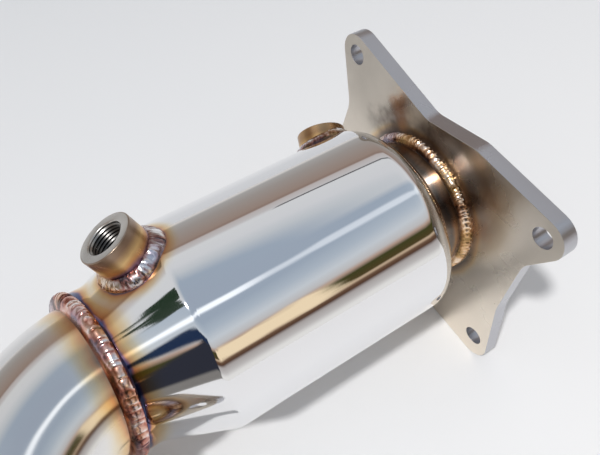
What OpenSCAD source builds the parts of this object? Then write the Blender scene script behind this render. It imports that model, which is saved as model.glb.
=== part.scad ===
// Turbo downpipe with a built-in catalytic converter, in millimetres.
// The origin is the centre of the turbo flange's mating face. +X points out of that face,
// towards the turbo, and +Z is up as the part lies on a bench. The gas flows towards -X.

/* [Turbo flange] */
// Thickness of the plate
flange_t = 8; // [6:0.5:12]
// Distance between bolt holes across the plate
bolt_y = 130.6; // [126:0.2:140]
// Distance between bolt holes up the plate
bolt_z = 101.1; // [96:0.1:108]
// Radius of each bolt hole
bolt_hole_r = 5.25; // [4.25:0.25:6]
// Radius of the ear round each bolt hole
ear_r = 10.8; // [9:0.2:12]
// How far the two lower ears reach down past their holes, as feet
foot_drop = 4.2; // [2:0.1:6]
// Half width of the plate at its waisted sides
waist_y = 65.4; // [62:0.2:68]
// Height of the notch in the top edge
notch_z = 52.6; // [50:0.2:56]
// Where the notch lies across the plate
notch_y = 10.5; // [0:0.5:20]
// Where the top edge reaches the height of the ears again
hump_y = -20; // [-26:0.5:-14]

/* [Converter shell] */
// Radius of the can
can_r = 50.8; // [48:0.2:55]
// Wall of the can, its cones and its necks
wall = 1.5; // [1.2:0.1:2]
// Radius of the front neck, which enters the turbo flange
neck_r = 36; // [33:0.5:38]
// Depth behind the mating face where the shoulder leaves the neck
shoulder_s = 22; // [20:0.5:24]
// Depth that the shoulder takes to grow from the neck to the can
shoulder_rise = 7; // [4:0.5:8]
// Round between the shoulder and the can
shoulder_r = 12; // [8:0.5:13]
// Length of the can from the substrate's end to the start of the rear cone
rear_room = 7; // [5:0.5:20]
// Length of the rear cone along the axis
cone_len = 32; // [28:0.5:36]
// Gap between the rear neck and the pipe in it
neck_gap = 1.6; // [1:0.1:2.5]
// Depth of the rear neck's slanting mouth, from the start of the cone to its middle
mouth_in = 42.3; // [41:0.1:46]
// Slant of that mouth
mouth_lean = 14.6; // [0:0.1:15]
// Direction in which the neck is longest, from +Y towards +Z
mouth_turn = -65.6; // [-90:0.1:90]

/* [Catalyst] */
// Depth behind the mating face where the substrate starts
core_s = 77; // [76:0.5:85]
// Length of the substrate
core_len = 61; // [50:0.5:75]
// Thickness of the mat between the substrate and the can
mat_t = 3.3; // [2:0.1:5]
// Width of each wire mesh ring at the ends of the mat
mesh_w = 4; // [3:0.5:6]
// Distance from cell to cell
cell_pitch = 6.8; // [5.5:0.1:9]
// Wall between two cells
cell_wall = 0.8; // [0.5:0.1:1.2]

/* [Sensor bungs] */
// Outer radius of each bung
bung_r = 12.7; // [11.5:0.1:14]
// Minor radius of the sensor thread
thread_r = 8.2; // [7:0.1:9]
// Length of each bung
bung_len = 17; // [16:0.5:22]
// Depth of the front bung's mouth behind the mating face
front_bung_s = 35.6; // [35:0.1:42]
// How far the front bung's mouth stands out past the can's radius
front_bung_rise = 6; // [5:0.1:8]
// Turn of the front bung about the can, from +Y towards +Z
front_bung_turn = 18.7; // [0:0.1:110]
// Lean of the front bung towards the turbo
front_bung_lean = 19; // [10:0.1:22]
// Depth of the rear bung's mouth behind the start of the cone
rear_bung_in = 15.5; // [14:0.1:18]
// How far the rear bung's mouth stands out past the can's radius
rear_bung_rise = 9.3; // [8:0.1:11]
// Turn of the rear bung about the cone, from +Y towards +Z
rear_bung_turn = 63.4; // [50:0.1:110]
// Lean of the rear bung towards the outlet
rear_bung_lean = 23; // [15:0.1:28]

/* [Outlet pipe] */
// Outer radius of the pipe
pipe_r = 35; // [33:0.1:35.5]
// Wall of the pipe
pipe_wall = 1.5; // [1.2:0.1:2]
// Bend radius to the centre of the pipe
bend_clr = 70; // [65:0.5:110]
// Straight pipe after the bend
tail_len = 56; // [50:1:90]
// Thickness of the outlet flange
outlet_t = 10; // [8:0.5:12]
// Width of the outlet flange round the pipe
outlet_rim = 11; // [9:0.5:14]
// Distance from the pipe out to the centre of each bolt hole in the outlet flange
outlet_bolt_out = 15; // [13:0.5:19]
// Radius of the outlet flange's bolt holes
outlet_hole_r = 5.5; // [4.5:0.25:6]
// Radius of the ears on the outlet flange
outlet_ear_r = 12; // [11:0.5:14]

/* [Weld beads] */
// Length of each leg of a bead
leg = 4.4; // [3.5:0.1:5]
// Distance from ripple to ripple
ripple_pitch = 2.8; // [2.4:0.1:4]
// How much lower a bead is between two ripples
ripple_dip = 0.45; // [0.2:0.05:0.6]

/* [Hidden] */
$fn = 96;
// Clearance between pieces that are slid together before welding
slip = 0.1;
// Clearance that keeps a bead's flat facets off the curved metal under it
skin = 0.04;
// Clearance of packed pieces inside the can
pack_gap = 0.05;
// How far a tube end sits back from a flange's face, and the leg of the seal weld in that step
inset = 2;
seal_leg = 1.6;
// Extra length of a cutter past the metal
past = 1;
// Segments in each round corner
corner_n = 10;
bore_r = neck_r + slip;
neck_bore_r = neck_r - wall;
// Rounds where the neck meets the shoulder, the can its cone and the cone the rear neck
fillet_r = 4;
crease_r = 10;
cone_foot_r = 8;
rear_neck_r = pipe_r + neck_gap + wall;
can_end_s = core_s + core_len + rear_room;
cone_end_s = can_end_s + cone_len;
mouth_s = can_end_s + mouth_in;
neck_end_s = mouth_s + rear_neck_r * tan(mouth_lean) + past;
core_r = can_r - wall - mat_t;
// The bend starts just past the end of the cone, with a short straight stub before it
bend_in = 1.5;
bend_s = cone_end_s + bend_in;
stub_len = 8;
outlet_face = tail_len;
outlet_r = pipe_r + outlet_rim;
outlet_bolts = 2 * (pipe_r + outlet_bolt_out);
// Broken outer edge of a bung and countersink of its thread
bung_edge = 0.8;
bung_mouth = 1.2;
// Thickness of the pipe weld over the rear neck, and its width on the neck and on the pipe
girth_t = 2.4;
girth_lap = 2;
girth_w = 5.2;
// Heights of the plate's waists on its left, its right and its lower right, and the rounds there
waist_left_z = 16;
waist_right_z = 27;
waist_low_z = -14;
waist_low_out = 1.6;
waist_left_r = 20;
waist_right_r = 14;
waist_low_r = 30;
notch_r = 14;
hump_r = 16;
foot_z = bolt_z / 2 + foot_drop + ear_r;
// The pipe's plane drops from the horizontal so that the outlet flange and the feet share one floor
reach = bend_clr + outlet_face;
drop = asin(foot_z / norm([reach, outlet_r])) - atan2(outlet_r, reach);

function unit(v) = v / norm(v);
function left(v) = [-v[1], v[0]];
function back(list) = [for (i = [len(list) - 1 : -1 : 0]) list[i]];

// Arc that rounds corner b between a and c with radius r
function corner(a, b, c, r) =
    let (u = unit(a - b), v = unit(c - b), half = acos(u * v) / 2,
        centre = b + unit(u + v) * r / sin(half), first = b + u * r / tan(half) - centre,
        turn = (180 - 2 * half) * (cross(u, v) < 0 ? 1 : -1))
    [for (i = [0 : corner_n]) let (t = turn * i / corner_n)
        centre + [first[0] * cos(t) - first[1] * sin(t), first[0] * sin(t) + first[1] * cos(t)]];

// Points of the shell's section line, as [radius, depth], moved inwards by w
function shell_corners() = [[neck_r, inset], [neck_r, shoulder_s], [can_r, shoulder_s + shoulder_rise],
    [can_r, can_end_s], [rear_neck_r, cone_end_s], [rear_neck_r, neck_end_s]];
function moved(p, i, w) =
    let (n1 = left(unit(p[max(i, 1)] - p[max(i, 1) - 1])),
        n2 = left(unit(p[min(i, len(p) - 2) + 1] - p[min(i, len(p) - 2)])))
    p[i] + (n1 + n2) * w / (1 + n1 * n2);
function shell_line(w) =
    let (p = shell_corners(), q = [for (i = [0 : len(p) - 1]) moved(p, i, w)])
    concat([q[0]], corner(q[0], q[1], q[2], fillet_r + w), corner(q[1], q[2], q[3], shoulder_r - w),
        corner(q[2], q[3], q[4], crease_r - w), corner(q[3], q[4], q[5], cone_foot_r + w), [q[5]]);
// Outer radius of the shell at a depth
shell_table = [for (p = shell_line(0)) [p[1], p[0]]];
function shell_radius(s) = lookup(s, shell_table);

// Turns a shape made along +Z so that it lies along the can's axis, growing in depth
module along_can() {
    rotate([0, -90, 0]) children();
}

module ring(r_out, r_in, s0, s1) {
    along_can() translate([0, 0, s0]) difference() {
        cylinder(h = s1 - s0, r = r_out);
        translate([0, 0, -past]) cylinder(h = s1 - s0 + 2 * past, r = r_in);
    }
}

// Where lines from a and b, each tangent to the ear at centre c, meet beyond that ear
function ear_corner(a, b, c, r) =
    let (da = c - a, db = c - b,
        ta = atan2(da[1], da[0]) + asin(r / norm(da)) * (cross(da, b - a) > 0 ? -1 : 1),
        tb = atan2(db[1], db[0]) + asin(r / norm(db)) * (cross(db, a - b) > 0 ? -1 : 1),
        u = [cos(ta), sin(ta)], v = [cos(tb), sin(tb)])
    a + u * cross(b - a, v) / cross(u, v);

// The plate's outline as [y, z], with ears and feet round the four holes
module turbo_outline() {
    y = bolt_y / 2;
    z = bolt_z / 2;
    top_left = [y, z];
    top_right = [-y, z];
    foot_left = [y, -z - foot_drop];
    foot_right = [-y, -z - foot_drop];
    notch = [notch_y, notch_z];
    hump = [hump_y, z + ear_r];
    waist_left = [waist_y, waist_left_z];
    waist_right = [-waist_y, waist_right_z];
    waist_low = [-waist_y - waist_low_out, waist_low_z];
    sole = [0, -foot_z];
    a = ear_corner(notch, waist_left, top_left, ear_r);
    b = ear_corner(waist_right, hump, top_right, ear_r);
    c = ear_corner(sole, waist_low, foot_right, ear_r);
    d = ear_corner(waist_left, sole, foot_left, ear_r);
    polygon(concat(corner(waist_left, a, notch, ear_r), corner(a, notch, hump, notch_r),
        corner(notch, hump, b, hump_r), corner(hump, b, waist_right, ear_r),
        corner(b, waist_right, waist_low, waist_right_r), corner(waist_right, waist_low, c, waist_low_r),
        corner(waist_low, c, sole, ear_r), corner(sole, d, waist_left, ear_r),
        corner(d, waist_left, a, waist_left_r)));
}

module turbo_flange() {
    color("#b9ada0") rotate([90, 0, 90]) translate([0, 0, -flange_t]) difference() {
        linear_extrude(flange_t) turbo_outline();
        translate([0, 0, -past]) cylinder(h = flange_t + 2 * past, r = bore_r);
        for (y = [-bolt_y / 2, bolt_y / 2], z = [-bolt_z / 2, bolt_z / 2])
            translate([y, z, -past]) cylinder(h = flange_t + 2 * past, r = bolt_hole_r);
    }
}

// Joins closed rings of points into one solid, the last ring to the first
module ring_sweep(rings) {
    n = len(rings);
    m = len(rings[0]);
    polyhedron(points = [for (r = rings) each r], faces = [for (i = [0 : n - 1], j = [0 : m - 1])
        let (a = i * m + j, b = i * m + (j + 1) % m, c = ((i + 1) % n) * m + (j + 1) % m, d = ((i + 1) % n) * m + j)
        each [[a, b, c], [a, c, d]]]);
}

function ripple_steps(r) = 2 * round(PI * 2 * r / ripple_pitch);
function ripple(i) = i % 2 == 0 ? 0 : ripple_dip;
// Radius of a flat facet's corner that keeps its middle clear of a circle of radius r
function clear_of(r, steps) = (r + skin) / cos(180 / steps);

// Fillet bead round a tube of radius r that stands on a flat face at z = 0
module fillet_bead(r) {
    steps = ripple_steps(r + leg);
    r0 = clear_of(r, steps);
    ring_sweep([for (i = [0 : steps - 1]) let (a = 360 * i / steps, d = ripple(i), u = [cos(a), sin(a)])
        [for (p = [[r0, skin], [r0 + leg, skin], [r0 + leg * 0.86 - d, leg * 0.5 - d],
            [r0 + leg * 0.5 - d, leg * 0.9 - d], [r0, leg * 1.12 - d]])
            [u[0] * p[0], u[1] * p[0], p[1]]]]);
}

// Small bead in the step between a tube end and a flange's bore, just under the face at z = 0
module step_bead(r_tube_in, r_bore) {
    rotate_extrude() polygon([[r_bore, -inset], [r_tube_in, -inset], [r_bore - seal_leg / 2, -inset + seal_leg / 2],
        [r_bore, -inset + seal_leg]]);
}

module flange_weld() {
    color("#c08a55") along_can() translate([0, 0, flange_t]) fillet_bead(neck_r);
}

module seal_weld() {
    color("#9a8a7a") rotate([0, 90, 0]) step_bead(neck_bore_r, bore_r - skin);
}

// Frame of a bung: its mouth's centre lies at [depth, radius], its axis along +Z
module at_bung(mouth, turn, lean) {
    rotate([turn - 90, 0, 0]) translate([-mouth[0], 0, mouth[1]]) rotate([0, -lean, 0]) children();
}

front_mouth = [front_bung_s, can_r + front_bung_rise];
module at_front_bung() {
    at_bung(front_mouth, front_bung_turn, -front_bung_lean) children();
}

rear_mouth = [can_end_s + rear_bung_in, can_r + rear_bung_rise];
module at_rear_bung() {
    at_bung(rear_mouth, rear_bung_turn, rear_bung_lean) children();
}

module bung_hole() {
    translate([0, 0, -bung_len - bung_r / 2]) cylinder(h = bung_len + bung_r / 2, r = bung_r + slip);
}

// Everything past the slanting mouth of the rear neck
module past_mouth() {
    rotate([mouth_turn, 0, 0]) translate([-mouth_s, 0, 0]) rotate([0, 0, mouth_lean]) rotate([0, -90, 0])
        cylinder(h = can_r, r = can_r);
}

module converter_shell() {
    color("#c8d0da") difference() {
        along_can() rotate_extrude() polygon(concat(shell_line(0), back(shell_line(wall))));
        at_front_bung() bung_hole();
        at_rear_bung() bung_hole();
        past_mouth();
    }
}

module support_mat() {
    color("#d9d3c4") ring(can_r - wall - pack_gap, core_r + pack_gap,
        core_s + mesh_w + pack_gap, core_s + core_len - mesh_w - pack_gap);
}

module front_mesh_ring() {
    color("#8f9499") ring(can_r - wall - pack_gap, core_r + pack_gap, core_s, core_s + mesh_w);
}

module rear_mesh_ring() {
    color("#8f9499") ring(can_r - wall - pack_gap, core_r + pack_gap,
        core_s + core_len - mesh_w, core_s + core_len);
}

// Square cells that lie whole inside the substrate's skin
module catalyst_core() {
    reach_cells = floor(core_r / cell_pitch);
    cell = cell_pitch - cell_wall;
    color("#c9b89a") along_can() translate([0, 0, core_s]) linear_extrude(core_len) difference() {
        circle(r = core_r);
        for (i = [-reach_cells : reach_cells], j = [-reach_cells : reach_cells])
            if (norm([abs(i) * cell_pitch + cell / 2, abs(j) * cell_pitch + cell / 2]) < core_r - cell_wall)
                translate([i * cell_pitch, j * cell_pitch]) square(cell, center = true);
    }
}

module bung() {
    rotate_extrude() polygon([[thread_r, -bung_len], [bung_r, -bung_len], [bung_r, -bung_edge],
        [bung_r - bung_edge, 0], [thread_r + bung_mouth, 0], [thread_r, -bung_mouth]]);
}

module front_sensor_bung() {
    color("#b08a5c") at_front_bung() bung();
}

module rear_sensor_bung() {
    color("#8d8780") at_rear_bung() bung();
}

// Height over the mouth at which a line beside a bung, r off its axis, meets the shell
function shell_gap(mouth, lean, r, a, h) =
    let (s = mouth[0] + h * sin(lean) + r * cos(a) * cos(lean),
        up = mouth[1] + h * cos(lean) - r * cos(a) * sin(lean))
    norm([up, r * sin(a)]) - shell_radius(s);
function seat_height(mouth, lean, r, a, low = -2 * bung_len, high = 0, n = 17) =
    let (mid = (low + high) / 2)
    n == 0 ? mid : shell_gap(mouth, lean, r, a, mid) > 0
        ? seat_height(mouth, lean, r, a, low, mid, n - 1) : seat_height(mouth, lean, r, a, mid, high, n - 1);

// Bead round a bung, which follows the curved shell under it
module saddle_bead(mouth, lean) {
    steps = ripple_steps(bung_r + leg / 2);
    r0 = clear_of(bung_r, steps);
    lift = 3 * skin;
    ring_sweep([for (i = [0 : steps - 1])
        let (a = 360 * i / steps, d = ripple(i), u = [-cos(a), -sin(a)],
            h0 = seat_height(mouth, lean, r0, a) + lift,
            hm = seat_height(mouth, lean, r0 + leg / 2, a) + lift,
            h1 = seat_height(mouth, lean, r0 + leg, a) + lift)
        [for (p = [[r0, h0], [r0 + leg / 2, hm], [r0 + leg, h1], [r0 + leg * 0.86 - d, h1 + leg * 0.45 - d],
            [r0 + leg * 0.45 - d, h0 + leg * 0.85 - d], [r0, h0 + leg - d]])
            [u[0] * p[0], u[1] * p[0], p[1]]]]);
}

module front_bung_weld() {
    color("#a8745a") at_front_bung() saddle_bead(front_mouth, -front_bung_lean);
}

module rear_bung_weld() {
    color("#9c8f98") at_rear_bung() saddle_bead(rear_mouth, rear_bung_lean);
}

// Frame of the bend: it turns about +Z, from the point [bend_clr, 0] where the pipe leaves along +Y
module bend_frame() {
    translate([-bend_s, 0, 0]) rotate([drop, 0, 0]) rotate([0, 0, 90]) translate([-bend_clr, 0, 0]) children();
}

// Frame at the end of the bend, with the tail along +Z
module tail_frame() {
    bend_frame() translate([0, bend_clr, 0]) rotate([0, -90, 0]) children();
}

// Solid rod along the pipe's route, longer by extra at both ends
module pipe_rod(r, extra) {
    bend_frame() {
        rotate_extrude(angle = 90) translate([bend_clr, 0]) circle(r = r);
        translate([bend_clr, 0, 0]) rotate([90, 0, 0]) cylinder(h = stub_len + extra, r = r);
        translate([inset - tail_len - extra, bend_clr, 0]) rotate([90, 0, 90])
            cylinder(h = tail_len - inset + extra, r = r);
    }
}

module outlet_pipe() {
    color("#bcc6cf") difference() {
        pipe_rod(pipe_r, 0);
        pipe_rod(pipe_r - pipe_wall, past);
    }
}

// Point at depth d past the start of the bend, r off the centre. It lies on the bent pipe's route
// where follow is 1 and on the rear neck's straight one where follow is 0
function beside_pipe(d, r, a, follow) =
    let (c = bend_clr + r * cos(a), bent = d > 0 ? sqrt(c * c - d * d) : c)
    [c + (bent - c) * follow, d, -r * sin(a)];
// How much further back the slanting mouth lies at r off the axis, in the bend's direction a
function slant(r, a) = r * tan(mouth_lean) * cos(drop - a - mouth_turn);
// Radius of the shell at a distance before its slanting mouth
function beside_mouth(a, lap) =
    let (near = shell_radius(mouth_s + slant(rear_neck_r, a) - lap))
    shell_radius(mouth_s + slant(near, a) - lap);

// Bead that bridges the step from the rear neck's edge down to the pipe
module pipe_weld() {
    steps = ripple_steps(rear_neck_r);
    rn = clear_of(rear_neck_r, steps);
    rp = clear_of(pipe_r, steps);
    color("#b58a86") bend_frame() ring_sweep([for (i = [0 : steps - 1])
        let (a = 360 * i / steps, d = ripple(i),
            foot = clear_of(beside_mouth(a, girth_lap), steps), edge = clear_of(beside_mouth(a, 0), steps))
        [for (p = [[foot, -girth_lap, 0], [rn + girth_t * 0.65 - d, -girth_lap * 0.3, 0],
            [rn + girth_t - d, girth_w * 0.25, 0.3], [rn + girth_t * 0.7 - d, girth_w * 0.62, 0.6],
            [rn - girth_t * 0.3 - d, girth_w * 0.92, 0.9], [rp, girth_w, 1], [rp, skin, 1], [edge, skin, 0]])
            beside_pipe(mouth_s - bend_s + slant(p[0], a) + p[1], p[0], a, p[2])]]);
}

module outlet_weld() {
    color("#b08d72") tail_frame() translate([0, 0, outlet_face - outlet_t]) mirror([0, 0, 1]) fillet_bead(pipe_r);
}

module outlet_seal_weld() {
    color("#9a8a7a") tail_frame() translate([0, 0, outlet_face]) step_bead(pipe_r - pipe_wall, pipe_r + slip - skin);
}

// Oval outline of the outlet flange: a disc, with an ear at each side joined by tangent lines
module outlet_outline() {
    half = outlet_bolts / 2;
    lean = acos((outlet_r - outlet_ear_r) / half);
    disc_n = 24;
    polygon([for (side = [0, 180]) each concat(
        [for (i = [0 : corner_n]) let (a = side - lean + 2 * lean * i / corner_n)
            [half * cos(side) + outlet_ear_r * cos(a), outlet_ear_r * sin(a)]],
        [for (i = [0 : disc_n]) let (a = side + lean + (180 - 2 * lean) * i / disc_n)
            [outlet_r * cos(a), outlet_r * sin(a)]])]);
}

module outlet_flange() {
    color("#b3aaa0") tail_frame() translate([0, 0, outlet_face - outlet_t]) rotate([0, 0, 90]) difference() {
        linear_extrude(outlet_t) outlet_outline();
        translate([0, 0, -past]) cylinder(h = outlet_t + 2 * past, r = pipe_r + slip);
        for (x = [-outlet_bolts / 2, outlet_bolts / 2])
            translate([x, 0, -past]) cylinder(h = outlet_t + 2 * past, r = outlet_hole_r);
    }
}

turbo_flange();
flange_weld();
seal_weld();
converter_shell();
support_mat();
front_mesh_ring();
rear_mesh_ring();
catalyst_core();
front_sensor_bung();
front_bung_weld();
rear_sensor_bung();
rear_bung_weld();
pipe_weld();
outlet_pipe();
outlet_weld();
outlet_seal_weld();
outlet_flange();
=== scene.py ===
"""Turbo downpipe with a built-in catalytic converter: dresses the CAD frame for a product photograph."""

import logging
import math
from dataclasses import dataclass, field
from enum import Enum

import bmesh
import bpy
from bmesh.types import BMEdge, BMesh, BMVert
from bpy.types import Material, Node, NodeSocket, Object, World
from mathutils import Matrix, Vector, noise
from mathutils.bvhtree import BVHTree


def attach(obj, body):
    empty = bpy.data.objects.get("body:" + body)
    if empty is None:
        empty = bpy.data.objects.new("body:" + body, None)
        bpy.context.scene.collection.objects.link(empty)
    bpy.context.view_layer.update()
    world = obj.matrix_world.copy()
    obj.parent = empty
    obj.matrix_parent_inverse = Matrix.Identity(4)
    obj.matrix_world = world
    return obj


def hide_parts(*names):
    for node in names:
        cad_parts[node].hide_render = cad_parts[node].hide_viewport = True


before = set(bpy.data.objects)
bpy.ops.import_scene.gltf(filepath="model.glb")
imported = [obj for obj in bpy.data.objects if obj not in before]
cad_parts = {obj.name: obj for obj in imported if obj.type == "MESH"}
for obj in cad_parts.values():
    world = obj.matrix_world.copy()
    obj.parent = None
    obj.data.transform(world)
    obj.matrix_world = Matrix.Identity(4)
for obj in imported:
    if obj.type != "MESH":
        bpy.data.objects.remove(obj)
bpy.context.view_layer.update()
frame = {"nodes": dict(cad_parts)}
LOG = logging.getLogger("downpipe")
MM = 0.001
BODY = "root"
FLOOR_Z = -65.55 * MM
SMOOTH_BELOW = math.radians(32)
Colour = tuple[float, float, float]
Section = list[tuple[float, float]]


class Steel(Enum):
    """Base colours of the metal surfaces, linear."""

    POLISHED = (0.86, 0.86, 0.87)
    TUBE = (0.80, 0.79, 0.78)
    PLATE = (0.66, 0.60, 0.52)
    EDGE = (0.50, 0.50, 0.53)
    TURNED = (0.56, 0.54, 0.51)
    BRONZED = (0.50, 0.33, 0.18)


class Tint(Enum):
    """Oxide colours that welding leaves on stainless steel, linear."""

    SCALE = (0.055, 0.040, 0.035)
    BLUE = (0.035, 0.05, 0.16)
    PURPLE = (0.20, 0.08, 0.14)
    BROWN = (0.26, 0.13, 0.06)
    ORANGE = (0.62, 0.27, 0.08)
    GOLD = (0.80, 0.52, 0.20)
    STRAW = (0.86, 0.73, 0.50)
    PALE = (0.88, 0.84, 0.76)


def rgba(colour: Colour) -> tuple[float, float, float, float]:
    """Returns the colour with full alpha."""
    return (*colour, 1.0)


@dataclass
class Tree:
    """Node tree of a material or of the surroundings, with short ways to add the nodes that they share."""

    owner: Material | World
    shader: Node = field(init=False)

    def __post_init__(self) -> None:
        """Finds the shader that the tree starts with."""
        self.owner.use_nodes = True
        kinds = ("BSDF_PRINCIPLED", "BACKGROUND")
        self.shader = next(n for n in self.owner.node_tree.nodes if n.type in kinds)

    def node(self, kind: str, **values: object) -> Node:
        """Adds a node.

        Args:
            kind: The node's type name.
            values: Attributes of the node.

        Returns:
            The new node.
        """
        made = self.owner.node_tree.nodes.new(kind)
        for key, value in values.items():
            setattr(made, key, value)
        return made

    def feed(self, target: NodeSocket, value: object) -> None:
        """Gives an input its value.

        Args:
            target: The input.
            value: A socket to link, or a number or vector to set.
        """
        if isinstance(value, NodeSocket):
            self.owner.node_tree.links.new(value, target)
        elif target.type == "RGBA":
            target.default_value = rgba(value)
        else:
            target.default_value = value

    def place(self, output: str = "Object") -> NodeSocket:
        """Returns one of the Texture Coordinate node's outputs."""
        return self.node("ShaderNodeTexCoord").outputs[output]

    def math(self, kind: str, *inputs: object) -> NodeSocket:
        """Adds a Math node.

        Args:
            kind: The operation.
            inputs: Sockets or numbers.

        Returns:
            The result's socket.
        """
        made = self.node("ShaderNodeMath", operation=kind)
        for slot, value in zip(made.inputs, inputs):
            self.feed(slot, value)
        return made.outputs[0]

    def vector(self, kind: str, *inputs: object) -> Node:
        """Adds a Vector Math node.

        Args:
            kind: The operation.
            inputs: Sockets or vectors.

        Returns:
            The node, because its result may be a vector or a value.
        """
        made = self.node("ShaderNodeVectorMath", operation=kind)
        for slot, value in zip(made.inputs, inputs):
            self.feed(slot, value)
        return made

    def stretched(self, scale: Colour) -> NodeSocket:
        """Returns the object's coordinates multiplied by scale."""
        mapping = self.node("ShaderNodeMapping")
        mapping.inputs["Scale"].default_value = scale
        self.feed(mapping.inputs["Vector"], self.place())
        return mapping.outputs[0]

    def noise(self, scale: float, detail: float = 3.0, vector: object = None) -> NodeSocket:
        """Adds a noise texture.

        Args:
            scale: Cells to the metre.
            detail: Octaves.
            vector: Coordinates, or None for the object's own.

        Returns:
            The noise, from 0 to 1.
        """
        made = self.node("ShaderNodeTexNoise")
        made.inputs["Scale"].default_value = scale
        made.inputs["Detail"].default_value = detail
        self.feed(made.inputs["Vector"], vector or self.place())
        return made.outputs["Fac"]

    def uneven(
        self, cells: float, detail: float, low: float, high: float, half: float = 0.2, vector: object = None
    ) -> NodeSocket:
        """Adds a noise whose middle range is spread over low..high.

        Args:
            cells: Cells to the metre.
            detail: Octaves.
            low: Result at the range's start.
            high: Result at its end.
            half: Half of the noise's range that is used, to each side of 0.5.
            vector: Coordinates, or None for the object's own.

        Returns:
            The spread noise.
        """
        return self.fit(self.noise(cells, detail, vector), low, high, 0.5 - half, 0.5 + half)

    def ramp(self, factor: NodeSocket, stops: list[tuple[float, Colour]]) -> NodeSocket:
        """Adds a colour ramp.

        Args:
            factor: The value that picks the colour.
            stops: Positions and colours, in order.

        Returns:
            The colour's socket.
        """
        made = self.node("ShaderNodeValToRGB")
        elements = made.color_ramp.elements
        while len(elements) < len(stops):
            elements.new(0.5)
        for element, (position, colour) in zip(elements, stops):
            element.position = position
            element.color = rgba(colour)
        self.feed(made.inputs[0], factor)
        return made.outputs[0]

    def fit(
        self, factor: object, low: float, high: float, start: float = 0.0, end: float = 1.0, smooth: bool = False
    ) -> NodeSocket:
        """Maps a value from start..end to low..high.

        Args:
            factor: The value.
            low: Result at start.
            high: Result at end.
            start: First input value.
            end: Last input value.
            smooth: Whether the change eases in and out.

        Returns:
            The mapped value.
        """
        made = self.node("ShaderNodeMapRange", clamp=True)
        if smooth:
            made.interpolation_type = "SMOOTHSTEP"
        for name, value in (("From Min", start), ("From Max", end), ("To Min", low), ("To Max", high)):
            made.inputs[name].default_value = value
        self.feed(made.inputs["Value"], factor)
        return made.outputs[0]

    def mix(self, factor: object, first: object, second: object) -> NodeSocket:
        """Mixes two colours.

        Args:
            factor: Socket or number.
            first: Socket or colour.
            second: Socket or colour.

        Returns:
            The mixed colour.
        """
        made = self.node("ShaderNodeMix", data_type="RGBA")
        for index, value in ((0, factor), (6, first), (7, second)):
            self.feed(made.inputs[index], value)
        return made.outputs[2]

    def bump(self, height: NodeSocket, distance: float, strength: float = 1.0) -> None:
        """Adds a bump to the shader, after any bump that it has.

        Args:
            height: The height, from 0 to 1.
            distance: Height of 1 in metres.
            strength: Share of the bump used.
        """
        made = self.node("ShaderNodeBump")
        made.inputs["Distance"].default_value = distance
        made.inputs["Strength"].default_value = strength
        self.feed(made.inputs["Height"], height)
        normal = self.shader.inputs["Normal"]
        if normal.is_linked:
            self.feed(made.inputs["Normal"], normal.links[0].from_socket)
        self.feed(normal, made.outputs[0])

    def from_point(self, point: Vector) -> NodeSocket:
        """Returns the object's coordinates counted from a point."""
        return self.vector("SUBTRACT", self.place(), point).outputs[0]

    def past_plane(self, point: Vector, normal: Vector) -> NodeSocket:
        """Returns the distance in metres past the plane through point, negative before it."""
        return self.vector("DOT_PRODUCT", self.from_point(point), normal).outputs["Value"]

    def near_plane(self, point: Vector, normal: Vector) -> NodeSocket:
        """Returns the distance in metres from the plane through point."""
        return self.math("ABSOLUTE", self.past_plane(point, normal))

    def near_line(self, point: Vector, axis: Vector) -> NodeSocket:
        """Returns the distance in metres from the line through point."""
        cross = self.vector("CROSS_PRODUCT", self.from_point(point), axis).outputs[0]
        return self.vector("LENGTH", cross).outputs["Value"]


def finish_tree(name: str) -> Tree:
    """Returns the tree of a new material."""
    return Tree(bpy.data.materials.new(name))


@dataclass(frozen=True)
class HeatZone:
    """Oxide colours beside one weld, as a band of a given reach."""

    reach: float
    full: float = 0.9
    stops: tuple[tuple[float, Tint], ...] = (
        (0.0, Tint.BLUE),
        (0.05, Tint.PURPLE),
        (0.12, Tint.ORANGE),
        (0.30, Tint.GOLD),
        (0.58, Tint.STRAW),
        (0.85, Tint.PALE),
    )
    wander: float = 0.12
    cells: float = 70.0

    def paint(self, tree: Tree, distance: object, colour: object, start: float) -> NodeSocket:
        """Lays the zone over a colour.

        Args:
            tree: The material's tree.
            distance: Distance from the weld's middle, in metres.
            colour: The colour under it.
            start: Distance at which the band starts.

        Returns:
            The tinted colour.
        """
        shift = self.wander * self.reach
        ragged = tree.math("ADD", distance, tree.uneven(self.cells, 3.0, -shift, shift, 0.25))
        along = tree.fit(ragged, 0.0, 1.0, start, start + self.reach)
        band = tree.ramp(along, [(p, t.value) for p, t in self.stops])
        share = tree.ramp(along, [(0.0, (self.full,) * 3), (0.5, (self.full * 0.85,) * 3), (1.0, (0.0,) * 3)])
        return tree.mix(share, colour, band)


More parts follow.
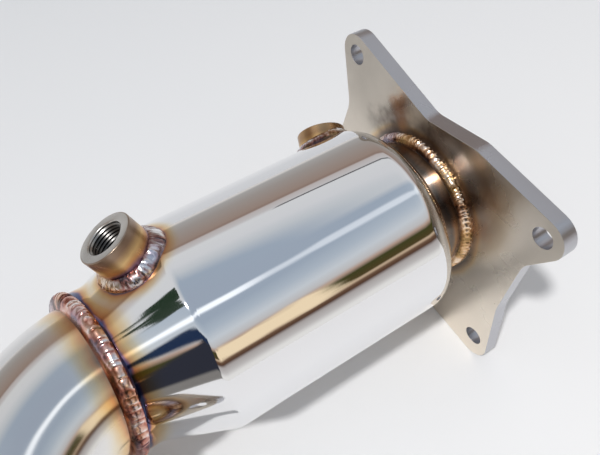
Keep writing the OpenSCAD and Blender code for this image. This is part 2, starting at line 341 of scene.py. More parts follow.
@dataclass(frozen=True)
class HeatTintAndSheenRay:
    """Streak of colour that runs out from a round weld on a plate, with its reach in millimetres; most streaks are
    heat tint, and a pale one is a painted highlight.
    """

    turn: float
    spread: float
    reach: float
    tint: Tint
    full: float = 0.8
    ragged: float = 0.4
    cells: float = 95.0

    def paint(self, tree: Tree, heading: object, radius: object, start: float, colour: object) -> object:
        """Lays the streak over a colour.

        Args:
            tree: The material's tree.
            heading: Unit vector from the weld's axis to the point.
            radius: Distance from that axis, in metres.
            start: Radius at which the streak starts.
            colour: The colour under it.

        Returns:
            The tinted colour.
        """
        turn, reach = math.radians(self.turn), self.reach * MM
        ray = Vector((0.0, math.cos(turn), math.sin(turn)))
        near = tree.vector("DOT_PRODUCT", heading, ray).outputs["Value"]
        beside = tree.fit(near, 0.0, self.full, math.cos(math.radians(self.spread)), 1.0, True)
        ragged = tree.uneven(self.cells, 4.0, -self.ragged * reach, self.ragged * reach)
        out = tree.fit(tree.math("ADD", radius, ragged), 1.0, 0.0, start, start + reach, True)
        return tree.mix(tree.math("MULTIPLY", beside, out), colour, self.tint.value)


def steel(name: str, base: Steel, rough: tuple[float, float], smudge: float = 14.0) -> Tree:
    """Makes a bare stainless steel tree with uneven polish.

    Args:
        name: The material's name.
        base: Its colour.
        rough: Lowest and highest roughness.
        smudge: Cells of the unevenness to the metre.

    Returns:
        The tree, with its base colour still unlinked.
    """
    tree = finish_tree(name)
    tree.shader.inputs["Metallic"].default_value = 1.0
    tree.shader.inputs["Base Color"].default_value = rgba(base.value)
    tree.feed(tree.shader.inputs["Roughness"], tree.uneven(smudge, 4.0, *rough))
    return tree


def to_object(
    mesh_data: BMesh, name: str, material: Material, node: str | None = None
) -> Object:
    """Turns a bmesh into a smooth-shaded object that rides on the part.

    Args:
        mesh_data: The bmesh, which is freed.
        name: The object's name.
        material: Its material.
        node: The CAD node that it stands for, or None.

    Returns:
        The new object.
    """
    bmesh.ops.recalc_face_normals(mesh_data, faces=mesh_data.faces)
    for face in mesh_data.faces:
        face.smooth = True
    mesh = bpy.data.meshes.new(name)
    mesh_data.to_mesh(mesh)
    mesh_data.free()
    mesh.materials.append(material)
    mesh.set_sharp_from_angle(angle=SMOOTH_BELOW)
    made = bpy.data.objects.new(name, mesh)
    bpy.context.scene.collection.objects.link(made)
    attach(made, BODY)
    if node:
        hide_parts(node)
    LOG.info("%s: %d faces", name, len(mesh.polygons))
    return made


def outline(mesh_data: BMesh, points: list[Vector]) -> list:
    """Draws a closed chain of edges.

    Args:
        mesh_data: The bmesh to draw in.
        points: The chain's points.

    Returns:
        The new vertices and edges.
    """
    verts = [mesh_data.verts.new(p) for p in points]
    return verts + [mesh_data.edges.new(p) for p in zip(verts, verts[1:] + verts[:1])]


def lathe(points: Section, steps: int) -> BMesh:
    """Spins a closed section about Z.

    Args:
        points: The section as radius and height.
        steps: Steps of a full turn.

    Returns:
        The closed solid.
    """
    made = bmesh.new()
    chain = outline(made, [Vector((r, 0, z)) for r, z in points])
    bmesh.ops.spin(
        made, geom=chain, cent=(0, 0, 0), axis=(0, 0, 1), angle=math.tau, steps=steps, use_merge=True
    )
    return made


def along_can() -> Matrix:
    """Returns the turn that lays a shape made along +Z along the can, growing in depth."""
    return Matrix.Rotation(-math.pi / 2, 4, "Y")


def fillet(before: Vector, corner: Vector, after: Vector, radius: float, steps: int = 12) -> list[Vector]:
    """Rounds a corner of a section line.

    Args:
        before: Point before the corner.
        corner: The corner.
        after: Point after the corner.
        radius: Radius of the round.
        steps: Segments of the arc.

    Returns:
        The points of the arc.
    """
    u, v = (before - corner).normalized(), (after - corner).normalized()
    half = u.angle(v) / 2
    centre = corner + (u + v).normalized() * radius / math.sin(half)
    first = corner + u * radius / math.tan(half) - centre
    last = corner + v * radius / math.tan(half) - centre
    turn = first.angle_signed(last)
    return [centre + Matrix.Rotation(-turn * i / steps, 2) @ first for i in range(steps + 1)]


def stepped(points: list[Vector], longest: float) -> list[Vector]:
    """Adds points to a line so that no step is longer than longest."""
    made = [points[0]]
    for a, b in zip(points, points[1:]):
        count = max(1, math.ceil((b - a).length / longest))
        made += [a.lerp(b, i / count) for i in range(1, count + 1)]
    return made


def bored(solid: BMesh, drills: BMesh) -> BMesh:
    """Cuts the drills out of a closed solid.

    Args:
        solid: The solid, which is freed.
        drills: The cutters, which are freed.

    Returns:
        The solid with its bores.
    """
    things = []
    for shape in (solid, drills):
        bmesh.ops.recalc_face_normals(shape, faces=shape.faces)
        mesh = bpy.data.meshes.new("bore work")
        shape.to_mesh(mesh)
        shape.free()
        things.append(bpy.data.objects.new("bore work", mesh))
        bpy.context.scene.collection.objects.link(things[-1])
    cut = things[0].modifiers.new("bore", "BOOLEAN")
    cut.operation, cut.solver, cut.object = "DIFFERENCE", "EXACT", things[1]
    made = bmesh.new()
    made.from_object(things[0], bpy.context.evaluated_depsgraph_get())
    for thing in things:
        bpy.data.meshes.remove(thing.data)
    return made


@dataclass(frozen=True)
class Bung:
    """Place and size of one sensor bung, whose mouth's centre lies at depth and height."""

    name: str
    depth: float
    height: float
    turn: float
    lean: float
    radius: float = 12.7
    length: float = 17.0
    thread_r: float = 8.2
    pitch: float = 1.5
    ridge: float = 0.6
    tooth: tuple[float, ...] = (0.38, 0.50, 0.88)
    sink: float = 0.05
    lead: float = 0.6
    runout: float = 2.0
    fit: float = 0.1
    foot: float = 13.5
    rounds: tuple[float, ...] = (0.2, 0.2, 0.45, 0.7)
    round_steps: int = 5
    steps: int = 144
    hole_steps: int = 96
    thread_steps: int = 40

    def frame(self) -> Matrix:
        """Returns the transform from the bung's own frame, with its axis along +Z and its mouth at 0."""
        return (
            Matrix.Rotation(math.radians(self.turn - 90), 4, "X")
            @ Matrix.Translation((-self.depth * MM, 0, self.height * MM))
            @ Matrix.Rotation(math.radians(-self.lean), 4, "Y")
        )

    def mouth(self) -> Vector:
        """Returns the mouth's centre."""
        return self.frame().translation

    def axis(self) -> Vector:
        """Returns the direction out of the mouth."""
        return (self.frame().to_3x3() @ Vector((0, 0, 1))).normalized()

    def drill(self, into: BMesh) -> None:
        """Adds the cutter of the bung's hole in the shell."""
        depth, radius = self.length + self.radius / 2, (self.radius + self.fit) * MM
        bmesh.ops.create_cone(
            into, cap_ends=True, segments=self.hole_steps, radius1=radius, radius2=radius, depth=depth * MM,
            matrix=self.frame() @ Matrix.Translation((0, 0, -depth / 2 * MM)),
        )

    def build(self, finish: Material, slot: str) -> None:
        """Makes the turned body and the helical thread in it.

        Args:
            finish: The metal's material.
            slot: Not used.
        """
        r, t, low = self.radius, self.thread_r, -self.length
        points = [Vector(p) for p in ((t, low), (r, low), (r, 0), (t, 0))]
        section: Section = []
        for i, radius in enumerate(self.rounds):
            arc = fillet(points[i - 1], points[i], points[(i + 1) % 4], radius, self.round_steps)
            section += [(p.x * MM, p.y * MM) for p in arc]
        solid = lathe(section, self.steps)
        solid.transform(self.frame())
        to_object(solid, f"{self.name}_body", finish, f"{self.name}_sensor_bung")
        thread = self.thread()
        thread.transform(self.frame())
        to_object(thread, f"{self.name}_thread", finish)

    def thread(self) -> BMesh:
        """Returns the thread's ridge, swept as a helix inside the bore."""
        made = bmesh.new()
        steps = self.thread_steps
        p, r, low = self.pitch * MM, (self.thread_r + self.sink) * MM, (self.lead - self.length) * MM
        crest = r - self.ridge * MM
        rise, fall, foot = (low + p * share for share in self.tooth)
        chain = outline(made, [Vector((a, 0, b)) for a, b in ((r, low), (crest, rise), (crest, fall), (r, foot))])
        bmesh.ops.contextual_create(made, geom=chain)
        turns = math.floor((self.length - self.runout) / self.pitch)
        bmesh.ops.spin(
            made, geom=made.verts[:] + made.edges[:] + made.faces[:], cent=(0, 0, 0), axis=(0, 0, 1),
            dvec=(0, 0, p / steps), angle=math.tau * turns, steps=steps * turns,
        )
        return made

    def finish(self, name: str, base: Steel, warm: float, brown: float) -> Material:
        """Returns lathe-turned steel, browned towards its weld, with painted shade that darkens the bore.

        Args:
            name: The material's name.
            base: Its colour.
            warm: Strength of the tint at its foot.
            brown: Strength of the browning over the whole wall.
        """
        tree = steel(name, base, (0.24, 0.34), 60.0)
        light, dark = (tuple(min(1.0, k * c) for c in base.value) for k in (1.15, 0.85))
        shade = tree.ramp(tree.noise(70.0, 3.0), [(0.35, dark), (0.65, light)])
        stops = ((0.0, Tint.PURPLE), (0.12, Tint.ORANGE), (0.3, Tint.GOLD), (0.6, Tint.BROWN), (0.9, Tint.BROWN))
        foot = tree.near_plane(self.mouth() - self.axis() * self.foot * MM, self.axis())
        baked = tree.mix(brown, shade, (0.26, 0.17, 0.10))
        wall = HeatZone(14 * MM, warm, stops).paint(tree, foot, baked, 2 * MM)
        around = tree.near_line(self.mouth(), self.axis())
        edge = tree.fit(around, 0.0, 1.0, (self.radius - 0.7) * MM, (self.radius - 0.3) * MM)
        below = tree.past_plane(self.mouth(), self.axis())
        # Painted shade: from 0.6 mm to 2.2 mm under the mouth the bore fades to near black, and it stays that dark
        # deeper in
        ring = tree.mix(tree.fit(below, 0.0, 1.0, -2.2 * MM, -0.6 * MM), (0.10, 0.095, 0.09), shade)
        tree.feed(tree.shader.inputs["Base Color"], tree.mix(edge, ring, wall))
        tree.bump(tree.noise(220.0, 2.0), 0.00003, 0.6)
        lines = tree.node("ShaderNodeTexNoise", noise_dimensions="1D")
        lines.inputs["Scale"].default_value = 2500.0
        tree.feed(lines.inputs["W"], below)
        tree.bump(lines.outputs["Fac"], 0.00001, 0.5)
        return tree.owner


FRONT_BUNG = Bung("front", 35.6, 56.8, 18.7, -19.0)
REAR_BUNG = Bung("rear", 160.5, 60.1, 63.4, 23.0)


@dataclass
class ConverterShell:
    """Spun can with its shoulder, rear cone and necks, the rear one cut off at a slant."""

    can_r: float = 50.8
    wall: float = 1.5
    neck_r: float = 36.0
    start: float = 2.0
    shoulder: float = 22.0
    shoulder_rise: float = 7.0
    can_end: float = 145.0
    cone_len: float = 32.0
    rear_r: float = 38.1
    mouth: float = 187.3
    mouth_lean: float = 14.6
    mouth_turn: float = -65.6
    past: float = 1.0
    rounds: tuple[float, ...] = (4.0, 12.0, 10.0, 8.0)
    outer_step: float = 3.0
    inner_step: float = 9.0
    steps: int = 256
    plate: float = 8.0

    def line(self, inward: float) -> list[Vector]:
        """Returns the section line moved inward, as radius and depth in millimetres."""
        end = self.mouth + self.rear_r * math.tan(math.radians(self.mouth_lean)) + self.past
        p = [
            Vector((self.neck_r, self.start)),
            Vector((self.neck_r, self.shoulder)),
            Vector((self.can_r, self.shoulder + self.shoulder_rise)),
            Vector((self.can_r, self.can_end)),
            Vector((self.rear_r, self.can_end + self.cone_len)),
            Vector((self.rear_r, end)),
        ]
        sides = [(b - a).normalized().orthogonal() for a, b in zip(p, p[1:])]
        sides = [sides[0], *sides, sides[-1]]
        moved = [q + (m + n) * inward / (1 + m.dot(n)) for q, m, n in zip(p, sides, sides[1:])]
        made = [moved[0]]
        for i, (radius, sign) in enumerate(zip(self.rounds, (1, -1, -1, 1)), start=1):
            made += fillet(moved[i - 1], moved[i], moved[i + 1], radius + sign * inward)
        return made + [moved[-1]]

    def radius_at(self, depth: float) -> float:
        """Returns the shell's outer radius at a depth, in millimetres."""
        line = self.line(0.0)
        for a, b in zip(line, line[1:]):
            if a.y <= depth <= b.y:
                return a.x + (b.x - a.x) * (depth - a.y) / max(b.y - a.y, 1e-9)
        return self.rear_r

    def mouth_plane(self) -> tuple[Vector, Vector]:
        """Returns the centre of the slanting mouth and the direction out of it."""
        lean = math.radians(self.mouth_lean)
        out = Matrix.Rotation(math.radians(self.mouth_turn), 3, "X") @ Vector((-math.cos(lean), -math.sin(lean), 0))
        return Vector((-self.mouth * MM, 0, 0)), out

    def build(self) -> Object:
        """Makes the shell, which stands for its CAD node."""
        inside = stepped(self.line(self.wall), self.inner_step)[::-1]
        section = stepped(self.line(0.0), self.outer_step) + inside
        solid = lathe([(p.x * MM, p.y * MM) for p in section], self.steps)
        solid.transform(along_can())
        centre, out = self.mouth_plane()
        cut = bmesh.ops.bisect_plane(
            solid, geom=solid.verts[:] + solid.edges[:] + solid.faces[:], plane_co=centre, plane_no=out,
            clear_outer=True,
        )
        rim = [e for e in cut["geom_cut"] if isinstance(e, BMEdge)]
        bmesh.ops.bridge_loops(solid, edges=rim)
        drills = bmesh.new()
        for bung in (FRONT_BUNG, REAR_BUNG):
            bung.drill(drills)
        whole = bored(solid, drills)
        return to_object(whole, "polished_shell", self.finish(), "converter_shell")

    def finish(self) -> Material:
        """Returns mirror-polished stainless with heat tint beside each weld."""
        tree = steel("polished stainless", Steel.POLISHED, (0.03, 0.06))
        front = tree.near_plane(Vector((-self.plate * MM, 0, 0)), Vector((1, 0, 0)))
        dusk = (
            (0.0, Tint.SCALE), (0.2, Tint.BROWN), (0.35, Tint.SCALE), (0.6, Tint.BROWN), (0.85, Tint.STRAW),
        )
        colour = HeatZone(19 * MM, 0.92, dusk).paint(tree, front, Steel.POLISHED.value, 3 * MM)
        rear = tree.near_plane(*self.mouth_plane())
        colour = HeatZone(11 * MM, 0.95).paint(tree, rear, colour, 2 * MM)
        for bung, reach in ((FRONT_BUNG, 5), (REAR_BUNG, 7)):
            around = tree.near_line(bung.mouth(), bung.axis())
            # The tint ends this far under the mouth, so that it doesn't mark the can's other side
            beyond = tree.fit(tree.past_plane(bung.mouth(), bung.axis()), 0.1, 0.0, -45 * MM, -40 * MM)
            own_side = tree.math("ADD", around, beyond)
            colour = HeatZone(reach * MM, 0.85).paint(tree, own_side, colour, (bung.radius + 3.7) * MM)
        tree.feed(tree.shader.inputs["Base Color"], colour)
        tree.bump(tree.noise(11.0, 1.0), 0.0005, 0.5)
        lines = tree.noise(40.0, 2.0, tree.stretched((60.0, 1.0, 1.0)))
        tree.bump(lines, 0.000003, 0.6)
        return tree.owner


class BeadColour(Enum):
    """Colours that the weld beads show, from their dips to their crests, linear: oxide colours, with painted shade
    in the dips and a painted highlight on the crests.
    """

    ROSE = ((0.10, 0.035, 0.035), (0.50, 0.19, 0.14), (0.76, 0.48, 0.40), (0.92, 0.84, 0.83))
    GOLD = ((0.08, 0.04, 0.03), (0.42, 0.22, 0.12), (0.74, 0.52, 0.38), (0.90, 0.80, 0.74))
    SILVER = ((0.05, 0.035, 0.04), (0.34, 0.16, 0.14), (0.62, 0.56, 0.56), (0.88, 0.87, 0.88))


@dataclass
class WeldBead:
    """Rippled weld bead round a tube, as a row of overlapping crescents."""

    name: str
    node: str
    slot: str
    colour: BeadColour
    section: Section
    pitch: float = 2.3
    dip: float = 0.5
    wander: float = 0.35
    seed: float = 0.0
    facets: int = 8
    peak: float = 0.74
    bow: float = 0.6
    cool: Colour = (0.50, 0.46, 0.58)

    def spun(self) -> BMesh:
        """Returns the bead about Z, rippled along its length, with its crests marked for the finish's painted shade
        and highlights.
        """
        middle = sum(r for r, _ in self.section) / len(self.section)
        count = round(math.tau * middle / self.pitch)
        solid = lathe([(r * MM, z * MM) for r, z in self.section], count * self.facets)
        marks = solid.verts.layers.float.new("crest")
        low = min(r for r, _ in self.section)
        high = max(z for _, z in self.section)
        mid = (min(z for _, z in self.section) + high) / 2
        for vert in solid.verts:
            r, z = math.hypot(vert.co.x, vert.co.y) / MM, vert.co.z / MM
            angle = math.atan2(vert.co.y, vert.co.x)
            # A point on a circle, so that the noise closes on itself round the bead
            around = Vector((math.cos(angle), math.sin(angle), self.seed))
            free = self.freedom(r - low, z)
            across = (z - mid) / max(high - mid, 0.1)
            phase = angle / math.tau * count + across * across * self.bow + 0.8 * noise.noise(around * 9.0)
            step = phase - math.floor(phase)
            fall = (step / self.peak) ** 1.6 if step < self.peak else (1 - step) / (1 - self.peak)
            rise = 1 - fall
            vert[marks] = rise * free
            dip = self.dip * (0.8 + 0.9 * noise.noise(around * 13.0 + Vector((9, 2, 0))))
            swell = self.wander * (2 * noise.noise(around * 2.2) + noise.noise(around * 8.0))
            grow = free * (swell - dip * (1 - rise))
            sway = 1.6 * noise.noise(around * 3.1 + Vector((5, 0, 0))) + 0.5 * (rise - 0.5)
            side = free * self.wander * sway
            vert.co.x += grow * MM * math.cos(angle)
            vert.co.y += grow * MM * math.sin(angle)
            vert.co.z += side * MM
        return solid

    def freedom(self, height: float, depth: float) -> float:
        """Returns how far a point may move: nothing where the bead meets the metal, all at its crest."""
        return min(1.0, max(0.0, (height - 0.6) / 2.0))

    def settle(self, solid: BMesh) -> None:
        """Fits the bead to the metal under it, which for a flat face needs nothing."""

    def finish(self) -> Material:
        """Returns the bead's heat-coloured metal, with painted shade in its ripples' dips and painted highlights on
        their crests.
        """
        tree = finish_tree(f"{self.name} metal")
        tree.shader.inputs["Metallic"].default_value = 1.0
        dark, low, mid, high = self.colour.value
        # Painted shade and highlight: the colour runs from dark in each ripple's dip to near white on its crest
        crest = tree.node("ShaderNodeAttribute", attribute_name="crest").outputs["Fac"]
        patch = tree.noise(150.0, 4.0)
        level = tree.math("ADD", tree.math("MULTIPLY", crest, 0.22), tree.math("SUBTRACT", patch, 0.11))
        colour = tree.ramp(level, [(0.33, dark), (0.43, low), (0.55, mid), (0.68, high)])
        broad = tree.noise(38.0, 2.0, tree.stretched((1.0, 1.3, 0.8)))
        colour = tree.mix(tree.fit(broad, 0.0, 0.55, 0.50, 0.62), colour, self.cool)
        warm = tree.fit(broad, 0.4, 0.0, 0.38, 0.48)
        tree.feed(tree.shader.inputs["Base Color"], tree.mix(warm, colour, Tint.GOLD.value))
        tree.feed(tree.shader.inputs["Roughness"], tree.fit(patch, 0.30, 0.14, 0.3, 0.7))
        tree.bump(tree.noise(700.0, 3.0), 0.0001, 0.5)
        return tree.owner

    def build(self, place: Matrix) -> None:
        """Makes the bead where place puts it.

        Args:
            place: Transform from the bead's own frame.
        """
        solid = self.spun()
        self.settle(solid)
        solid.transform(place)
        to_object(solid, f"{self.name}_bead", self.finish(), self.node)


@dataclass
class SaddleBead(WeldBead):
    """Bead round a bung, dropped onto the curved shell under it."""

    bung: Bung = FRONT_BUNG
    shell: BVHTree | None = None
    above: float = 12.0

    def freedom(self, height: float, depth: float) -> float:
        """Returns how far a point may move, by its height over the shell."""
        return min(1.0, max(0.0, (depth - 0.4) / 1.5)) * min(1.0, max(0.0, height / 1.2))

    def settle(self, solid: BMesh) -> None:
        """Lifts each point to the shell's surface beside the bung."""
        place = self.bung.frame()
        back = place.inverted()
        down = -self.bung.axis()
        hole = (self.bung.radius + 0.3) * MM
        for vert in solid.verts:
            r = max(math.hypot(vert.co.x, vert.co.y), hole)
            angle = math.atan2(vert.co.y, vert.co.x)
            start = place @ Vector((r * math.cos(angle), r * math.sin(angle), self.above * MM))
            vert.co.z += (back @ self.shell.ray_cast(start, down)[0]).z


@dataclass
class GirthBead(WeldBead):
    """Bead that follows the shell's slanting mouth and bridges the step down to the bent pipe."""

    shell: ConverterShell = field(default_factory=ConverterShell)
    pipe: "OutletPipe | None" = None
    follow_end: float = 5.0

    def freedom(self, height: float, depth: float) -> float:
        """Returns how far a point may move, by its height over the pipe and distance from both edges."""
        return min(1.0, max(0.0, (height - 3.6) / 1.8)) * min(1.0, max(0.0, (5.3 - depth) / 1.2))

    def settle(self, solid: BMesh) -> None:
        """Slants the bead, seats its foot on the shell and its toe on the pipe."""
        shell, pipe = self.shell, self.pipe
        drop, lean = pipe.drop(), math.tan(math.radians(shell.mouth_lean))
        for vert in solid.verts:
            r, d = math.hypot(vert.co.x, vert.co.y) / MM, vert.co.z / MM
            angle = math.atan2(vert.co.y, vert.co.x)
            share = min(1.0, max(0.0, d / self.follow_end))
            follow = share * share * (3 - 2 * share)
            slant = r * lean * math.cos(drop - angle - math.radians(shell.mouth_turn))
            depth = shell.mouth + slant + d
            r += (shell.radius_at(depth) - shell.rear_r) * (1 - follow)
            past = depth - pipe.start
            straight = pipe.bend + r * math.cos(angle)
            bent = math.sqrt(straight * straight - past * past) if past > 0 else straight
            vert.co = Vector((straight + (bent - straight) * follow, past, -r * math.sin(angle))) * MM


@dataclass
class OutletPipe:
    """Mandrel-bent pipe from the rear neck to the outlet flange."""

    radius: float = 35.0
    wall: float = 1.5
    bend: float = 70.0
    start: float = 178.5
    stub: float = 8.0
    tail: float = 56.0
    inset: float = 2.0
    plate: float = 10.0
    flange_r: float = 46.0
    feet: float = 65.55
    sides: int = 160
    bend_steps: int = 72

    def drop(self) -> float:
        """Returns how far the pipe's plane drops from the horizontal, so that the outlet flange stands."""
        reach = self.bend + self.tail
        return math.asin(self.feet / math.hypot(reach, self.flange_r)) - math.atan2(self.flange_r, reach)

    def frame(self) -> Matrix:
        """Returns the bend's frame: it turns about +Z, from [bend, 0] along +Y."""
        return (
            Matrix.Translation((-self.start * MM, 0, 0))
            @ Matrix.Rotation(self.drop(), 4, "X")
            @ Matrix.Rotation(math.pi / 2, 4, "Z")
            @ Matrix.Translation((-self.bend * MM, 0, 0))
        )

    def tail_frame(self) -> Matrix:
        """Returns the frame at the end of the bend, with the tail along +Z."""
        turned = Matrix.Translation((0, self.bend * MM, 0)) @ Matrix.Rotation(-math.pi / 2, 4, "Y")
        return self.frame() @ turned

    def flow(self) -> Vector:
        """Returns the direction out of the outlet."""
        return (self.tail_frame().to_3x3() @ Vector((0, 0, 1))).normalized()

    def build(self) -> Object:
        """Makes the pipe, which stands for its CAD node."""
        made = bmesh.new()
        turned = Matrix.Translation((self.bend * MM, -self.stub * MM, 0)) @ Matrix.Rotation(math.pi / 2, 4, "X")
        bmesh.ops.create_circle(made, segments=self.sides, radius=self.radius * MM, matrix=turned)
        ring = self.extend(made, made.edges[:], Vector((0, self.stub * MM, 0)))
        spun = bmesh.ops.spin(
            made, geom=ring, cent=(0, 0, 0), axis=(0, 0, 1), angle=math.pi / 2, steps=self.bend_steps
        )
        ring = [e for e in spun["geom_last"] if isinstance(e, BMEdge)]
        self.extend(made, ring, Vector((-(self.tail - self.inset) * MM, 0, 0)))
        bmesh.ops.recalc_face_normals(made, faces=made.faces)
        bmesh.ops.solidify(made, geom=made.faces[:], thickness=self.wall * MM)
        made.transform(self.frame())
        return to_object(made, "bent_pipe", self.finish(), "outlet_pipe")

    @staticmethod
    def extend(mesh_data: BMesh, ring: list, by: Vector) -> list:
        """Extrudes an open ring of edges.

        Args:
            mesh_data: The bmesh.
            ring: The ring's edges.
            by: How far the new ring lies.

        Returns:
            The new ring's edges.
        """
        grown = bmesh.ops.extrude_edge_only(mesh_data, edges=ring)["geom"]
        ends = {g for g in grown if isinstance(g, BMVert)}
        bmesh.ops.translate(mesh_data, vec=by, verts=list(ends))
        return [g for g in grown if isinstance(g, BMEdge) and all(v in ends for v in g.verts)]

    def finish(self) -> Material:
        """Returns satin-polished tube with tint at both welds."""
        tree = steel("bent tube", Steel.TUBE, (0.07, 0.15), 20.0)
        start = tree.near_plane(*ConverterShell().mouth_plane())
        stops = (
            (0.0, Tint.BROWN), (0.12, Tint.ORANGE), (0.3, Tint.GOLD), (0.58, Tint.STRAW), (0.85, Tint.PALE),
        )
        colour = HeatZone(13 * MM, 0.85, stops).paint(tree, start, Steel.TUBE.value, 4.6 * MM)
        face = self.tail_frame() @ Vector((0, 0, (self.tail - self.plate) * MM))
        colour = HeatZone(14 * MM, 0.8).paint(tree, tree.near_plane(face, self.flow()), colour, 3 * MM)
        tree.feed(tree.shader.inputs["Base Color"], colour)
        tree.bump(tree.noise(22.0, 2.0), 0.0006, 0.5)
        return tree.owner


@dataclass(frozen=True)
class PlateFinish:
    """Ground plate, warm on its faces and grey on its cut edges, with oxide round its tube, and painted light that
    makes it lighter at the bottom and darker at the top.
    """

    name: str
    centre: Vector
    axis: Vector
    grain: Colour
    weld_r: float
    rays: tuple[HeatTintAndSheenRay, ...] = ()

    def make(self) -> Material:
        """Returns the material."""
        tree = steel(self.name, Steel.PLATE, (0.24, 0.36), 25.0)
        # Painted light: the plate is lighter towards the floor and darker towards its top, with a ragged change
        # between them
        height = tree.vector("DOT_PRODUCT", tree.place(), (0.0, 0.0, 1.0)).outputs["Value"]
        painted_light_height = tree.math("ADD", height, tree.uneven(14.0, 5.0, -30 * MM, 30 * MM))
        low, high = (tuple(k * c for c in Steel.PLATE.value) for k in (1.25, 0.72))
        base = tree.ramp(tree.fit(painted_light_height, 0.0, 1.0, -45 * MM, 70 * MM), [(0.0, low), (1.0, high)])
        radius = tree.near_line(self.centre, self.axis)
        heading = tree.vector("NORMALIZE", tree.from_point(self.centre)).outputs[0]
        colour = HeatZone(
            7 * MM, 0.6, ((0.0, Tint.SCALE), (0.2, Tint.BROWN), (0.5, Tint.GOLD), (0.8, Tint.STRAW))
        ).paint(tree, radius, base, self.weld_r * MM)
        for ray in self.rays:
            colour = ray.paint(tree, heading, radius, self.weld_r * MM, colour)
        turned = tree.vector("DOT_PRODUCT", tree.place("Normal"), self.axis).outputs["Value"]
        flat = tree.fit(tree.math("ABSOLUTE", turned), 0.0, 1.0, 0.5, 0.9)
        tree.feed(tree.shader.inputs["Base Color"], tree.mix(flat, Steel.EDGE.value, colour))
        tree.bump(tree.noise(30.0, 3.0, tree.stretched(self.grain)), 0.00006, 0.6)
        tree.bump(tree.noise(1400.0, 2.0), 0.000015, 0.5)
        return tree.owner


@dataclass
class CutPlate:
    """Laser-cut plate with broken edges."""

    name: str
    node: str
    finish: PlateFinish
    edge: float = 0.4
    merged: float = 0.001
    flat_below: float = 0.5
    sharp_above: float = 40.0

    def build(self, source: Object) -> Object:
        """Makes the plate from a merged copy of its solid.

        Args:
            source: The CAD node.

        Returns:
            The plate.
        """
        made = bmesh.new()
        made.from_mesh(source.data)
        bmesh.ops.remove_doubles(made, verts=made.verts, dist=self.merged * MM)
        flat, limit = math.radians(self.flat_below), math.radians(self.sharp_above)
        bmesh.ops.dissolve_limit(made, angle_limit=flat, verts=made.verts, edges=made.edges)
        sharp = [e for e in made.edges if len(e.link_faces) == 2 and e.calc_face_angle() > limit]
        bmesh.ops.bevel(
            made, geom=sharp, offset=self.edge * MM, affect="EDGES", segments=2, profile=0.5, material=-1,
            clamp_overlap=True,
        )
        plate = to_object(made, self.name, self.finish.make(), self.node)
        weights = plate.modifiers.new("flat faces", "WEIGHTED_NORMAL")
        weights.weight, weights.keep_sharp = 100, True
        return plate


@dataclass
class InnerPieces:
    """Catalyst, mat and mesh inside the can, and the plain seal welds."""

    nodes: dict[str, Object]

    def dress(self) -> None:
        """Gives each inner CAD node its material."""
        wire, seal = self.mesh(), self.dull()
        finishes = {
            "catalyst_core": self.ceramic(),
            "support_mat": self.fibre(),
            "front_mesh_ring": wire,
            "rear_mesh_ring": wire,
            "seal_weld": seal,
            "outlet_seal_weld": seal,
        }
        for name, material in finishes.items():
            slots = self.nodes[name].data.materials
            slots.clear()
            slots.append(material)
            LOG.info("dressed %s", name)

    def speckled(self, name: str, rough: float, marks: tuple[float, Colour, float], colours: tuple) -> Tree:
        """Returns a matt tree whose colour and bump follow one noise.

        Args:
            name: The material's name.
            rough: Its roughness.
            marks: Cells to the metre, their stretch, and the bump's height in metres.
            colours: Its darkest and lightest colour.
        """
        tree = finish_tree(name)
        tree.shader.inputs["Roughness"].default_value = rough
        speck = tree.noise(marks[0], 4.0, tree.stretched(marks[1]))
        tree.feed(tree.shader.inputs["Base Color"], tree.ramp(speck, [(0.33, colours[0]), (0.67, colours[1])]))
        tree.bump(speck, marks[2], 0.6)
        return tree

    def ceramic(self) -> Material:
        """Returns washcoated ceramic."""
        colours = ((0.42, 0.34, 0.24), (0.62, 0.53, 0.40))
        return self.speckled("washcoated ceramic", 0.85, (600.0, (1.0, 1.0, 1.0), 0.0001), colours).owner

    def fibre(self) -> Material:
        """Returns pale fibre mat."""
        colours = ((0.60, 0.57, 0.50), (0.80, 0.77, 0.70))
        return self.speckled("fibre mat", 0.95, (700.0, (0.3, 1.0, 1.0), 0.0003), colours).owner

    def mesh(self) -> Material:
        """Returns knitted wire."""
        tree = steel("knitted wire", Steel.TURNED, (0.35, 0.5), 60.0)
        wave = tree.node("ShaderNodeTexWave", wave_type="BANDS", bands_direction="DIAGONAL")
        wave.inputs["Scale"].default_value = 500.0
        wave.inputs["Distortion"].default_value = 4.0
        tree.feed(wave.inputs["Vector"], tree.place())
        tree.bump(wave.outputs["Fac"], 0.0004, 0.8)
        return tree.owner

    def dull(self) -> Material:
        """Returns a ground-back seal weld."""
        tree = steel("seal weld", Steel.TURNED, (0.3, 0.45), 80.0)
        tree.bump(tree.noise(500.0, 3.0), 0.0001, 0.7)
        return tree.owner


@dataclass(frozen=True)
class Surrounding:
    """One thing round the bench, as a soft-edged range of compass and height angles in degrees."""

    turn: float
    half_turn: float
    height: float
    half_height: float
    colour: Colour
    soft: float = 2.0
    ragged: float = 0.0
    tears: float = 14.0

    def paint(self, tree: Tree, compass: object, level: object, under: object) -> NodeSocket:
        """Lays it over what is behind it.

        Args:
            tree: The world's tree.
            compass: Compass angle of the direction looked in.
            level: Height angle of that direction.
            under: The colour behind it.

        Returns:
            The new colour.
        """
        above = tree.math("SUBTRACT", level, self.height)
        beside = tree.math("WRAP", tree.math("SUBTRACT", compass, self.turn), 180.0, -180.0)
        if self.ragged:
            seen = tree.place("Generated")
            torn = tree.uneven(self.tears, 5.0, -self.ragged, self.ragged, vector=seen)
            beside, above = tree.math("ADD", beside, torn), tree.math("ADD", above, torn)
        inside = [
            tree.fit(tree.math("ABSOLUTE", away), 1.0, 0.0, half - self.soft / 2, half + self.soft / 2, True)
            for away, half in ((beside, self.half_turn), (above, self.half_height))
        ]
        return tree.mix(tree.math("MULTIPLY", *inside), under, self.colour)


